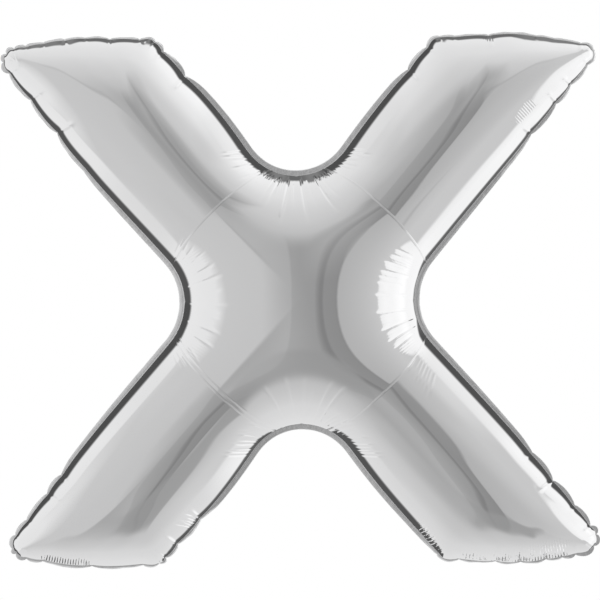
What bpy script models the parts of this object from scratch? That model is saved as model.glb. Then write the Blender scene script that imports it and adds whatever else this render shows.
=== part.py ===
"""Letter foil balloon: an inflated silver letter X, about a metre wide.

Two sheets of foil film are welded face to face round their edge. Inflated, each arm is a tube, the
middle is a dome, and the film is drawn in along a crease where each tube meets the dome. The letter
stands in the XZ plane and faces -Y, with the weld in the plane y = 0 and the origin at its middle.
"""

import math

import bpy
import bmesh
import numpy as np
from mathutils.geometry import delaunay_2d_cdt

# Corners of the weld's outer edge, clockwise from the front:
# x, z, rounding radius, and how far the side to the next corner bows outwards
CORNERS = {
    "upper_left_tip": (-0.537, 0.428, 0.027, 0.009),
    "upper_left_inner": (-0.248, 0.449, 0.027, 0.009),
    "top_notch": (-0.006, 0.157, 0.105, 0.005),
    "upper_right_inner": (0.227, 0.452, 0.026, 0.011),
    "upper_right_tip": (0.525, 0.438, 0.022, 0.000),
    "right_notch": (0.170, -0.001, 0.105, 0.005),
    "lower_right_tip": (0.541, -0.430, 0.029, 0.011),
    "lower_right_inner": (0.241, -0.446, 0.032, 0.006),
    "bottom_notch": (0.002, -0.158, 0.103, 0.008),
    "lower_left_inner": (-0.234, -0.455, 0.035, 0.009),
    "lower_left_tip": (-0.520, -0.439, 0.027, 0.005),
    "left_notch": (-0.173, -0.002, 0.105, 0.007),
}

# Welded margin. Just short of the films it steps down to a thinner lip that lies in between them
SEAM_WIDTH = 0.0085
SEAM_THICKNESS = 0.0010
STEP_IN = 0.0075
LIP_WIDTH = 0.0045
LIP_THICKNESS = 0.0008

# Inflated film
FILM_THICKNESS = 0.0015
FULLNESS = 0.94
DOME_LOAD = 0.70
CREASE_RADIUS = 0.210
CREASE_FLARE = 0.018
CREASE_PULL = 0.90

# Filling neck, folded straight back under the lower right leg, and its clear valve sleeve
NECK_X = 0.390
NECK_WIDTH = 0.030
NECK_ROOT_WIDTH = 0.046
NECK_LENGTH = 0.048
NECK_LIP = 0.0045
NECK_EDGE = 0.0010
NECK_THICKNESS = 0.0010
SLEEVE_WIDTH = 0.021
SLEEVE_LENGTH = 0.014
SLEEVE_THICKNESS = 0.0005

# Clearance between pieces that touch, and between panels at a crease, where the cut runs aslant
TOUCH = 0.0003
CREASE_GAP = 0.0006

# Mesh sizes
STEP = 0.025
ARC_STEP = math.radians(24)
RINGS = (0.006, 0.022, 0.047)

SILVER = (0.80, 0.80, 0.81)
CLEAR = (0.86, 0.87, 0.88)

SEAT = SEAM_THICKNESS / 2 + TOUCH


def clear_scene():
    for item in list(bpy.data.objects):
        bpy.data.objects.remove(item, do_unlink=True)


def make_material(name, colour, roughness, metallic):
    material = bpy.data.materials.new(name)
    material.use_nodes = True
    shader = material.node_tree.nodes["Principled BSDF"]
    shader.inputs["Base Color"].default_value = (*colour, 1.0)
    shader.inputs["Roughness"].default_value = roughness
    shader.inputs["Metallic"].default_value = metallic
    return material


def make_object(name, points, faces, material):
    """One named piece from its points and outward-facing faces."""
    mesh = bpy.data.meshes.new(name)
    builder = bmesh.new()
    corners = [builder.verts.new(tuple(point)) for point in points]
    for face in faces:
        builder.faces.new([corners[index] for index in face])
    bmesh.ops.recalc_face_normals(builder, faces=builder.faces)
    builder.to_mesh(mesh)
    builder.free()
    mesh.shade_smooth()
    mesh.set_sharp_from_angle(angle=math.radians(50))
    piece = bpy.data.objects.new(name, mesh)
    piece.data.materials.append(material)
    bpy.context.collection.objects.link(piece)
    return piece


def unit(vector):
    return vector / np.linalg.norm(vector)


def corner_arc(before, corner, after, radius):
    """Points of the arc that rounds a corner off, in the order of travel."""
    back, ahead = unit(before - corner), unit(after - corner)
    half = math.acos(float(back @ ahead)) / 2
    centre = corner + unit(back + ahead) * radius / math.sin(half)
    start = corner + back * radius / math.tan(half) - centre
    sweep = math.pi - 2 * half
    if back[0] * ahead[1] - back[1] * ahead[0] > 0:
        sweep = -sweep
    length_share = radius * abs(sweep) / STEP
    count = 2 * max(1, round(max(abs(sweep) / ARC_STEP, length_share) / 2))
    turns = sweep * np.arange(count + 1) / count
    cosine, sine = np.cos(turns), np.sin(turns)
    x = centre[0] + start[0] * cosine - start[1] * sine
    z = centre[1] + start[0] * sine + start[1] * cosine
    return np.column_stack([x, z])


def outline():
    """Points round the weld's outer edge, clockwise, and the outward normal at each."""
    rows = list(CORNERS.values())
    places = [np.array(row[:2]) for row in rows]
    arcs = []
    for index, row in enumerate(rows):
        after = places[(index + 1) % len(rows)]
        arcs.append(corner_arc(places[index - 1], places[index], after, row[2]))
    stretches = []
    for index, row in enumerate(rows):
        arc, next_arc = arcs[index], arcs[(index + 1) % len(rows)]
        start, end = arc[-1], next_arc[0]
        count = max(2, round(float(np.linalg.norm(end - start)) / STEP))
        shares = np.arange(1, count)[:, None] / count
        side = start + (end - start) * shares
        leaving = arc[len(arc) // 2 :]
        joining = next_arc[: len(next_arc) // 2]
        points = np.vstack([leaving, side, joining])
        lengths = np.linalg.norm(np.diff(points, axis=0), axis=1)
        travelled = np.concatenate([[0.0], np.cumsum(lengths)])
        share = travelled / (travelled[-1] + lengths[-1])
        along = unit(places[(index + 1) % len(rows)] - places[index])
        outward = np.array([-along[1], along[0]])
        stretches.append(points + outward * (row[3] * np.sin(math.pi * share) ** 2)[:, None])
    points = np.vstack(stretches)
    travel = np.roll(points, -1, axis=0) - np.roll(points, 1, axis=0)
    travel /= np.linalg.norm(travel, axis=1)[:, None]
    return points, np.column_stack([-travel[:, 1], travel[:, 0]])


def crease_reach(points):
    """The creases' distance from the middle, in the direction of each point."""
    angles = np.arctan2(points[..., 1], points[..., 0])
    return CREASE_RADIUS + CREASE_FLARE * np.cos(2 * angles) ** 2


def beyond_crease(points):
    """How far each point lies outside the ring of creases."""
    return np.linalg.norm(points, axis=-1) - crease_reach(points)


def cut_at_crease(edge):
    """Put a point of the edge on the crease line wherever the edge crosses it."""
    result = []
    crossings = []
    beyond = beyond_crease(edge)
    for index in range(len(edge)):
        following = (index + 1) % len(edge)
        result.append(edge[index])
        if beyond[index] * beyond[following] >= 0:
            continue
        share = beyond[index] / (beyond[index] - beyond[following])
        point = edge[index] + (edge[following] - edge[index]) * share
        point *= crease_reach(point) / np.linalg.norm(point)
        crossings.append(point)
        if share < 0.25:
            result[-1] = point
        elif share <= 0.75:
            result.append(point)
        else:
            edge[following] = point
    return np.array(result), crossings


def crease_lines(crossings):
    """The four creases, each across the root of one arm."""
    angles = [math.atan2(point[1], point[0]) for point in crossings]
    lines = []
    for index, angle in enumerate(angles):
        sweep = (angle - angles[(index + 1) % len(angles)]) % (2 * math.pi)
        if sweep < math.pi / 4:
            continue
        count = round(sweep * CREASE_RADIUS / STEP)
        turns = angle - sweep * np.arange(count + 1) / count
        line = np.column_stack([np.cos(turns), np.sin(turns)])
        lines.append(line * crease_reach(line)[:, None])
    return lines


def far_enough(kept, point, clearance):
    return min(np.linalg.norm(np.array(kept) - point, axis=1)) >= clearance


def flat_film():
    """The film laid flat: its points, its triangles, and which points lie on the edge and on a crease."""
    outer, normals = outline()
    edge, crossings = cut_at_crease(outer - normals * SEAM_WIDTH)
    creases = crease_lines(crossings)
    points = list(edge)
    for line in creases:
        points.extend(line[1:-1])
    edge_count = len(edge)
    fixed_count = len(points)
    for depth in RINGS:
        for place, normal in zip(outer, normals):
            point = place - normal * (SEAM_WIDTH + depth)
            clear = abs(beyond_crease(point)) > STEP * 0.25
            clear = clear and far_enough(edge, point, depth * 0.93)
            if clear and far_enough(points[edge_count:], point, STEP * 0.5):
                points.append(point)
    rows = np.arange(-0.45, 0.45, STEP * math.sqrt(3) / 2)
    for number, height in enumerate(rows):
        for place in np.arange(-0.55, 0.55, STEP) + STEP / 2 * (number % 2):
            point = np.array([place, height])
            clear = inside(edge, point) and abs(beyond_crease(point)) > STEP * 0.25
            clear = clear and far_enough(edge, point, RINGS[-1] + STEP * 0.3)
            if clear and far_enough(points, point, STEP * 0.7):
                points.append(point)
    lines = [(index, (index + 1) % edge_count) for index in range(edge_count)]
    start = edge_count
    for line in creases:
        middle = list(range(start, start + len(line) - 2))
        ends = [int(np.argmin(np.linalg.norm(edge - line[place], axis=1))) for place in (0, -1)]
        chain = [ends[0], *middle, ends[1]]
        lines.extend(zip(chain, chain[1:]))
        start += len(middle)
    places, _, triangles, *_ = delaunay_2d_cdt([tuple(point) for point in points], lines, [], 1, 1e-6)
    places = np.array([tuple(place) for place in places])
    on_edge = np.arange(len(places)) < edge_count
    on_crease = np.zeros(len(places), bool)
    on_crease[edge_count:fixed_count] = True
    return places, np.array(triangles), on_edge, on_crease


def inside(edge, point):
    """Whether a point lies inside the closed edge."""
    first, second = edge, np.roll(edge, -1, axis=0)
    crosses = (first[:, 1] > point[1]) != (second[:, 1] > point[1])
    rise = np.where(crosses, second[:, 1] - first[:, 1], 1.0)
    reach = first[:, 0] + (point[1] - first[:, 1]) * (second[:, 0] - first[:, 0]) / rise
    return bool(np.count_nonzero(crosses & (reach > point[0])) % 2)


def inflate(places, triangles, on_edge, on_crease):
    """How far the gas lifts each point of the film off the weld's plane.

    A loaded membrane is solved over the flat letter. The square root of its lift makes a long
    strip into a round tube. The creases are then pulled in and the film solved again.
    """
    count = len(places)
    stiffness = np.zeros((count, count))
    load = np.zeros(count)
    for triangle in triangles:
        corners = places[triangle]
        sides = np.roll(corners, -2, axis=0) - np.roll(corners, -1, axis=0)
        area = abs(sides[0, 0] * sides[1, 1] - sides[0, 1] * sides[1, 0]) / 2
        stiffness[np.ix_(triangle, triangle)] += sides @ sides.T / (4 * area)
        share = DOME_LOAD if beyond_crease(corners.mean(axis=0)) < 0 else 1.0
        load[triangle] += 2 * share * area / 3
    free = ~on_edge
    lift = np.zeros(count)
    lift[free] = np.linalg.solve(stiffness[np.ix_(free, free)], load[free])
    lift[on_crease] *= CREASE_PULL
    free = ~on_edge & ~on_crease
    load -= stiffness[:, on_crease] @ lift[on_crease]
    lift[free] = np.linalg.solve(stiffness[np.ix_(free, free)], load[free])
    return FULLNESS * np.sqrt(np.maximum(lift, 0.0))


def skin(places, triangles, depth, on_edge):
    """The film's outer and inner points as x, depth, z."""
    outer = np.column_stack([places[:, 0], SEAT + depth, places[:, 1]])
    normals = np.zeros_like(outer)
    for triangle in triangles:
        first, second, third = outer[triangle]
        normal = np.cross(second - first, third - first)
        normals[triangle] += normal * (1.0 if normal[1] > 0 else -1.0)
    normals[on_edge, 1] = 0.0
    normals /= np.linalg.norm(normals, axis=1)[:, None]
    inner = outer - normals * FILM_THICKNESS
    inner[:, 1] = np.maximum(inner[:, 1], SEAT)
    return outer, inner


def panel_of(point):
    """The panel a point of the flat film belongs to."""
    if beyond_crease(point) < 0:
        return "centre"
    height = "upper" if point[1] > 0 else "lower"
    return height + ("_left" if point[0] < 0 else "_right") + "_arm"


def make_panel(name, side, triangles, outer, inner, at_crease, material):
    """One panel of film as a closed shell, a hair's breadth short of its creases."""
    used = sorted({int(index) for triangle in triangles for index in triangle})
    number = {index: place for place, index in enumerate(used)}
    shift = -CREASE_GAP / 2 if name.endswith("centre") else CREASE_GAP / 2
    points = np.vstack([outer[used], inner[used]])
    radial = np.column_stack([outer[used][:, 0], np.zeros(len(used)), outer[used][:, 2]])
    radial *= (shift * at_crease[used] / np.linalg.norm(radial, axis=1).clip(0.001))[:, None]
    points += np.vstack([radial, radial])
    points[:, 1] *= side
    faces = []
    edges = {}
    for triangle in triangles:
        corners = [number[int(index)] for index in triangle]
        faces.append(corners)
        faces.append([place + len(used) for place in reversed(corners)])
        for first, second in zip(corners, corners[1:] + corners[:1]):
            edges[(first, second)] = True
    for first, second in edges:
        if (second, first) not in edges:
            faces.append([second, first, first + len(used), second + len(used)])
    return make_object(name, points, faces, material)


def make_film(material):
    """Front and back film, each in five panels that meet at the creases."""
    places, triangles, on_edge, on_crease = flat_film()
    depth = inflate(places, triangles, on_edge, on_crease)
    outer, inner = skin(places, triangles, depth, on_edge)
    at_crease = abs(beyond_crease(places)) < 1e-5
    panels = {}
    for triangle in triangles:
        panels.setdefault(panel_of(places[triangle].mean(axis=0)), []).append(triangle)
    for sheet, side in (("front", -1), ("back", 1)):
        for panel, chosen in panels.items():
            make_panel(f"{sheet}_film_{panel}", side, chosen, outer, inner, at_crease, material)


def make_seam(material):
    """The welded margin: a flat strip all round, with a lip that lies in between the two films."""
    outer, normals = outline()
    shoulder = outer - normals * STEP_IN
    inner = outer - normals * (STEP_IN + LIP_WIDTH)
    half, lip = SEAM_THICKNESS / 2, LIP_THICKNESS / 2
    front = [(outer, half), (shoulder, half), (shoulder, lip), (inner, lip)]
    loops = front + [(loop, -depth) for loop, depth in reversed(front)]
    points = [(x, depth, z) for loop, depth in loops for x, z in loop]
    count = len(outer)
    faces = []
    for loop in range(len(loops)):
        start, following = loop * count, (loop + 1) % len(loops) * count
        for index in range(count):
            after = (index + 1) % count
            faces.append([start + index, start + after, following + after, following + index])
    make_object("seam_flange", points, faces, material)


def place_on_edge(x):
    """Where the lower edge of the weld passes a given x: the point and its outward normal."""
    points, normals = outline()
    lower = points[:, 1] < -0.40
    order = np.argsort(points[lower, 0])
    across = points[lower, 0][order]
    height = np.interp(x, across, points[lower, 1][order])
    normal = [np.interp(x, across, normals[lower, axis][order]) for axis in (0, 1)]
    return np.array([x, height]), unit(np.array(normal))


def plate(name, place, normal, rows, thickness, material):
    """A flat folded strip: rows of depth, distance inwards from the edge, and half width."""
    along = np.array([-normal[1], normal[0]])
    path = np.array([(depth, inset) for depth, inset, _ in rows])
    direction = np.gradient(path, axis=0)
    direction /= np.linalg.norm(direction, axis=1)[:, None]
    points = []
    for sign in (-1, 1):
        for (depth, inset, half), heading in zip(rows, direction):
            for side in (-1, 1):
                y = depth - sign * heading[1] * thickness / 2
                lift = inset + sign * heading[0] * thickness / 2
                x, z = place - normal * lift + along * side * half
                points.append((x, y, z))
    count = len(rows)
    skip = 2 * count
    faces = []
    for row in range(count - 1):
        a, b, c, d = 2 * row, 2 * row + 1, 2 * row + 3, 2 * row + 2
        faces.append([a, b, c, d])
        faces.append([a + skip, d + skip, c + skip, b + skip])
        faces.append([a, d, d + skip, a + skip])
        faces.append([b, b + skip, c + skip, c])
    last = 2 * (count - 1)
    faces.append([0, skip, skip + 1, 1])
    faces.append([last, last + 1, last + 1 + skip, last + skip])
    make_object(name, points, faces, material)


def make_neck(foil, clear):
    """The filling neck and the clear sleeve of its valve, which looks out of the neck's end."""
    place, normal = place_on_edge(NECK_X)
    root_depth = SEAM_THICKNESS / 2 + TOUCH + NECK_THICKNESS / 2
    bend = NECK_EDGE + NECK_LIP
    root, half = NECK_ROOT_WIDTH / 2, NECK_WIDTH / 2
    far = root_depth + NECK_LENGTH
    rows = [
        (root_depth, NECK_EDGE, root),
        (root_depth, bend - 0.0012, root),
        (root_depth + 0.0010, bend, root),
        (root_depth + 0.0060, bend, root * 0.86),
        (root_depth + 0.0120, bend, half * 1.06),
        (root_depth + 0.0180, bend, half),
        (far, bend, half),
    ]
    plate("filling_neck", place, normal, rows, NECK_THICKNESS, foil)
    sleeve = [
        (far + TOUCH, bend, SLEEVE_WIDTH / 2),
        (far + TOUCH + SLEEVE_LENGTH, bend, SLEEVE_WIDTH / 2),
    ]
    plate("valve_sleeve", place, normal, sleeve, SLEEVE_THICKNESS, clear)


def main():
    clear_scene()
    foil = make_material("silver_foil", SILVER, 0.06, 1.0)
    clear = make_material("clear_film", CLEAR, 0.20, 0.0)
    make_film(foil)
    make_seam(foil)
    make_neck(foil, clear)


main()
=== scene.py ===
"""Looks of the letter foil balloon: fine film, creases, puckers, crimped margin, neck and studio.

The letter stands in the XZ plane and faces -Y. Its outline and its membrane follow the same rules as
the CAD model, on a much finer mesh. "Travel" is the distance along the outline, clockwise from the
front, from the middle of the upper left tip, and "inset" is the distance inwards from the outline.
"""

import math
from functools import reduce
from types import SimpleNamespace

import bmesh
import bpy
import numpy as np
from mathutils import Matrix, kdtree


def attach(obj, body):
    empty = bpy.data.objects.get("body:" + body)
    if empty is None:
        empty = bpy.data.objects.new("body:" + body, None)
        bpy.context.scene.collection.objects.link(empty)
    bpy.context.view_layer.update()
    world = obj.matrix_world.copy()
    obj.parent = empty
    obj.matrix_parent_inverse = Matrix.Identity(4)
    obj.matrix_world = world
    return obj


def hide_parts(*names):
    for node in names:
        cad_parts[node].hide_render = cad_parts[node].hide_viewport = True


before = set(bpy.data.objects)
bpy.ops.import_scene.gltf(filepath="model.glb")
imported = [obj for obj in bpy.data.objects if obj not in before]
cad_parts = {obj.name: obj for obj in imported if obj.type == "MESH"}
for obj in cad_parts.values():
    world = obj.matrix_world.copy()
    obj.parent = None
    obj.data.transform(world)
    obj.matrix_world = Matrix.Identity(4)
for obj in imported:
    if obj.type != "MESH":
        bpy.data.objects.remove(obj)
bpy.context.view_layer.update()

MM = 0.001

# Corners of the outline, clockwise from the front:
# x, z, rounding radius, and how far the side to the next corner bows outwards
CORNERS = {
    "upper_left_tip": (-0.537, 0.428, 0.027, 0.009),
    "upper_left_inner": (-0.248, 0.449, 0.027, 0.009),
    "top_notch": (-0.006, 0.157, 0.105, 0.005),
    "upper_right_inner": (0.227, 0.452, 0.026, 0.011),
    "upper_right_tip": (0.525, 0.438, 0.022, 0.000),
    "right_notch": (0.170, -0.001, 0.105, 0.005),
    "lower_right_tip": (0.541, -0.430, 0.029, 0.011),
    "lower_right_inner": (0.241, -0.446, 0.032, 0.006),
    "bottom_notch": (0.002, -0.158, 0.103, 0.008),
    "lower_left_inner": (-0.234, -0.455, 0.035, 0.009),
    "lower_left_tip": (-0.520, -0.439, 0.027, 0.005),
    "left_notch": (-0.173, -0.002, 0.105, 0.007),
}
ARMS = {
    "upper_left": ("left_notch", "upper_left_tip", "upper_left_inner", "top_notch"),
    "upper_right": ("top_notch", "upper_right_inner", "upper_right_tip", "right_notch"),
    "lower_right": ("right_notch", "lower_right_tip", "lower_right_inner", "bottom_notch"),
    "lower_left": ("bottom_notch", "lower_left_inner", "lower_left_tip", "left_notch"),
}
OUTLINE_STEP = 0.0005

# Inflated film
FULLNESS = 0.94
DOME_LOAD = 0.70
CREASE_RADIUS = 0.210
CREASE_FLARE = 0.018
CREASE_PULL = 0.92
FILM_SEAT = 0.0003
# Extra load near the cut ends of the arms: the height of their line, how far it reaches, how strong it is
END_LINE = 0.448
END_REACH = 0.040
UPPER_END_BOOST = 0.1
LOWER_END_BOOST = 1.5

# Net of one film, before each cell is divided in four
COLUMNS = 72
STUB_ROWS = 58
ARM_ROWS = 100
COARSE_CELL = 0.0060
FINE_CELL = 0.0022
FAN_CELL = 1.4 * FINE_CELL
RIM_CELL = 0.0014
# How fast the cells grow with the distance from a pucker, a fan and a rim
PUCKER_CORE = 0.003
PUCKER_GROWTH = 0.28
FAN_GROWTH = 0.3
RIM_GROWTH = 0.12
# Columns of an arm: how far they follow a round tube, the arm's rough width, where its creases may end
ROUND_SHARE = 0.75
ARM_WIDTH = 0.25
CREASE_SEARCH = 0.12
# Limits of the search and of the solver
SAMPLES = 4001
MOST_ROUNDS = 6000
NET_TOLERANCE = 1e-5
LIFT_TOLERANCE = 1e-6
LEAST_AREA = 1e-10

# Camera and floor
CAMERA_DISTANCE = 12.0
CAMERA_REACH = 60.0
FRAME_WIDTH = 1.02
SENSOR_WIDTH = 36.0
FLOOR_DROP = 0.92
FLOOR_RADIUS = 6.0
FLOOR_SIDES = 96
FLOOR_TONE = 0.70
FLOOR_ROUGHNESS = 0.8


def unit(vector):
    return vector / np.linalg.norm(vector)


def corner_arc(before, corner, after, radius):
    """Points of the arc that rounds a corner off, in the order of travel."""
    back, ahead = unit(before - corner), unit(after - corner)
    half = math.acos(float(back @ ahead)) / 2
    centre = corner + unit(back + ahead) * radius / math.sin(half)
    start = corner + back * radius / math.tan(half) - centre
    sweep = math.pi - 2 * half
    if back[0] * ahead[1] - back[1] * ahead[0] > 0:
        sweep = -sweep
    count = 2 * max(1, round(radius * abs(sweep) / OUTLINE_STEP / 2))
    turns = sweep * np.arange(count + 1) / count
    cosine, sine = np.cos(turns), np.sin(turns)
    x = centre[0] + start[0] * cosine - start[1] * sine
    z = centre[1] + start[0] * sine + start[1] * cosine
    return np.column_stack([x, z])


class Outline:
    """The outer edge of the welded margin, as places by travel."""

    def __init__(self):
        rows = list(CORNERS.values())
        places = [np.array(row[:2]) for row in rows]
        arcs = []
        for index, row in enumerate(rows):
            after = places[(index + 1) % len(rows)]
            arcs.append(corner_arc(places[index - 1], places[index], after, row[2]))
        stretches = []
        starts = []
        for index, row in enumerate(rows):
            arc, next_arc = arcs[index], arcs[(index + 1) % len(rows)]
            start, end = arc[-1], next_arc[0]
            count = max(2, round(float(np.linalg.norm(end - start)) / OUTLINE_STEP))
            side = start + (end - start) * np.arange(1, count)[:, None] / count
            points = np.vstack([arc[len(arc) // 2 :], side, next_arc[: len(next_arc) // 2]])
            lengths = np.linalg.norm(np.diff(points, axis=0), axis=1)
            travelled = np.concatenate([[0.0], np.cumsum(lengths)])
            share = travelled / (travelled[-1] + lengths[-1])
            along = unit(places[(index + 1) % len(rows)] - places[index])
            outward = np.array([-along[1], along[0]])
            starts.append(sum(len(stretch) for stretch in stretches))
            stretches.append(points + outward * (row[3] * np.sin(math.pi * share) ** 2)[:, None])
        self.points = np.vstack(stretches)
        heading = np.roll(self.points, -1, axis=0) - np.roll(self.points, 1, axis=0)
        heading /= np.linalg.norm(heading, axis=1)[:, None]
        self.normals = np.column_stack([-heading[:, 1], heading[:, 0]])
        steps = np.linalg.norm(np.roll(self.points, -1, axis=0) - self.points, axis=1)
        self.travel = np.concatenate([[0.0], np.cumsum(steps)[:-1]])
        self.length = float(steps.sum())
        self.corner = {name: float(self.travel[start]) for name, start in zip(CORNERS, starts)}
        self.tree = kdtree.KDTree(len(self.points))
        for index, (x, z) in enumerate(self.points):
            self.tree.insert((x, 0.0, z), index)
        self.tree.balance()

    def at(self, travel, inset=0.0):
        """Points at these travels and insets."""
        place, normal = (
            np.column_stack([np.interp(travel, self.travel, row, period=self.length) for row in table.T])
            for table in (self.points, self.normals)
        )
        normal /= np.linalg.norm(normal, axis=1)[:, None]
        return place - normal * np.reshape(inset, (-1, 1))

    def locate(self, points):
        """Travel and inset of each point."""
        nearest = np.array([self.tree.find((x, 0.0, z))[1] for x, z in points])
        offset = points - self.points[nearest]
        normal = self.normals[nearest]
        along = offset[:, 0] * normal[:, 1] - offset[:, 1] * normal[:, 0]
        inset = -(offset * normal).sum(axis=1)
        return (self.travel[nearest] + along) % self.length, inset


OUTLINE = Outline()

# Puckers of the margin, read off the photograph: travel, and how deep the pucker is
PUCKERS = (
    (0.007, 1.0), (0.027, 1.0), (0.047, 0.7), (0.078, 0.6), (0.115, 0.7), (0.151, 0.4), (0.192, 0.9),
    (0.243, 0.8), (0.274, 0.8), (0.296, 1.0), (0.352, 1.2), (0.872, 0.9), (0.921, 0.8), (0.955, 0.5),
    (0.980, 0.4), (1.037, 0.9), (1.120, 0.5), (1.150, 0.4), (1.197, 0.7), (1.225, 0.4), (1.257, 0.6),
    (1.302, 0.8), (1.343, 0.7), (1.410, 0.8), (2.083, 0.6), (2.142, 1.1), (2.198, 0.7), (2.242, 1.0),
    (2.262, 0.8), (2.287, 0.9), (2.327, 0.7), (2.350, 0.6), (2.378, 0.9), (2.422, 0.9), (2.465, 0.9),
    (2.527, 0.8), (2.570, 0.5), (3.130, 0.8), (3.187, 0.9), (3.218, 1.0), (3.236, 0.8), (3.265, 0.7),
    (3.352, 0.9), (3.437, 0.7), (3.465, 0.7), (3.488, 0.7), (3.500, 0.6), (3.528, 0.7), (3.560, 0.6),
    (3.617, 0.8), (3.657, 0.8), (4.300, 0.3), (4.378, 1.2), (4.450, 0.9), (4.508, 0.9), (4.533, 0.8),
)
LOBE_LIMIT = 0.090
LOBE_SHARPNESS = 0.6


def lobe_depth(travel):
    """How far a travel is into the pucker between two lobes: 0 in mid lobe, its strength at a pucker."""
    places = np.array([place for place, _ in PUCKERS])
    strengths = np.array([strength for _, strength in PUCKERS])
    places = np.concatenate([places[-1:] - OUTLINE.length, places, places[:1] + OUTLINE.length])
    strengths = np.concatenate([strengths[-1:], strengths, strengths[:1]])
    index = np.searchsorted(places, travel, side="right").clip(1, len(places) - 1)
    before, after = places[index - 1], places[index]
    width = np.minimum(after - before, LOBE_LIMIT)
    strength = np.where(travel - before < after - travel, strengths[index - 1], strengths[index])
    share = np.clip(np.minimum(travel - before, after - travel) / width, 0.0, 0.5)
    return strength * (1 - np.sin(math.pi * share) ** LOBE_SHARPNESS)


# The margin's width: narrow on the arms, wide within reach of the notches, and more at each pucker
NARROW_INSET = 0.0034
WIDE_INSET = 0.0056
WIDE_REACH = 0.26
RIM_PINCH = 0.0036


def notch_distance(travel):
    """Distance along the outline to the nearest notch between two arms."""
    result = np.full(np.shape(travel), np.inf)
    for name in CORNERS:
        if name.endswith("notch"):
            apart = np.abs(travel - OUTLINE.corner[name])
            result = np.minimum(result, np.minimum(apart, OUTLINE.length - apart))
    return result


def rim_inset(travel):
    """Inset of the line where the film leaves the margin."""
    wide = np.exp(-((notch_distance(travel) / WIDE_REACH) ** 4))
    return NARROW_INSET + (WIDE_INSET - NARROW_INSET) * wide + RIM_PINCH * lobe_depth(travel)


# Long thin wrinkles that run in from the notches: travel, first inset, length, lean, height
SPOKES = (
    (0.585, 0.012, 0.058, -0.16, 0.5), (0.597, 0.010, 0.086, -0.05, 0.6), (0.614, 0.010, 0.086, 0.05, 0.6),
    (0.634, 0.011, 0.078, 0.16, 0.6), (0.578, 0.016, 0.050, -0.20, 0.2), (0.605, 0.018, 0.055, 0.0, 0.2),
    (0.623, 0.016, 0.052, 0.10, 0.2), (0.643, 0.018, 0.050, 0.22, 0.25),
    (1.712, 0.030, 0.052, 0.05, 0.35), (1.722, 0.022, 0.062, 0.05, 0.45), (1.735, 0.028, 0.056, 0.03, 0.4),
    (1.748, 0.018, 0.068, 0.02, 0.6), (1.768, 0.014, 0.074, -0.02, 0.6), (1.782, 0.012, 0.070, 0.06, 0.6),
    (1.793, 0.014, 0.062, 0.10, 0.5), (1.803, 0.024, 0.046, 0.10, 0.3), (1.729, 0.040, 0.040, 0.04, 0.3),
    (2.866, 0.012, 0.080, -0.18, 0.6), (2.873, 0.014, 0.078, -0.12, 0.5), (2.889, 0.016, 0.074, 0.0, 0.4),
    (2.902, 0.014, 0.080, 0.05, 0.5), (2.917, 0.018, 0.070, 0.12, 0.4), (2.882, 0.030, 0.040, -0.04, 0.2),
    (3.975, 0.036, 0.044, -0.08, 0.35), (3.990, 0.018, 0.066, -0.06, 0.55), (4.001, 0.040, 0.034, 0.0, 0.3),
    (4.006, 0.044, 0.030, 0.0, 0.3), (4.015, 0.014, 0.078, 0.0, 0.55), (4.028, 0.040, 0.036, 0.05, 0.3),
    (4.040, 0.016, 0.070, 0.06, 0.55), (4.052, 0.030, 0.046, 0.10, 0.35),
)
# Fans of short wrinkles: first and last travel, spacing, first inset, length, first and last lean, height
FANS = (
    (0.514, 0.553, 0.0062, 0.014, 0.036, -0.55, -0.40, 0.42),
    (0.558, 0.584, 0.0036, 0.012, 0.014, -0.25, -0.15, 0.50),
    (0.640, 0.660, 0.0036, 0.012, 0.015, 0.15, 0.25, 0.50),
    (0.664, 0.704, 0.0060, 0.012, 0.036, 0.35, 0.60, 0.42),
    (1.694, 1.716, 0.0055, 0.030, 0.050, 0.10, 0.05, 0.32),
    (1.826, 1.868, 0.0060, 0.034, 0.040, 0.30, 0.55, 0.25),
    (2.576, 2.628, 0.0062, 0.006, 0.020, -0.25, -0.25, 0.40),
    (2.786, 2.860, 0.0058, 0.010, 0.038, -0.80, -0.45, 0.50),
    (2.944, 2.992, 0.0058, 0.008, 0.042, 0.45, 0.75, 0.45),
    (3.128, 3.150, 0.0055, 0.010, 0.024, 0.50, 0.50, 0.35),
    (3.938, 3.962, 0.0060, 0.024, 0.048, -0.40, -0.25, 0.30),
    (4.066, 4.090, 0.0060, 0.020, 0.046, 0.20, 0.35, 0.30),
)


def crease_reach(points):
    """The creases' distance from the middle, in the direction of each point."""
    angles = np.arctan2(points[..., 1], points[..., 0])
    return CREASE_RADIUS + CREASE_FLARE * np.cos(2 * angles) ** 2


def crease_travel(start, end):
    """Where the rim crosses the ring of creases, between two travels."""
    travel = np.linspace(start, end, SAMPLES)
    points = OUTLINE.at(travel, rim_inset(travel % OUTLINE.length))
    beyond = np.linalg.norm(points, axis=1) - crease_reach(points)
    crossing = np.nonzero(beyond[:-1] * beyond[1:] <= 0)[0]
    return float(travel[crossing[0]])


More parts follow.
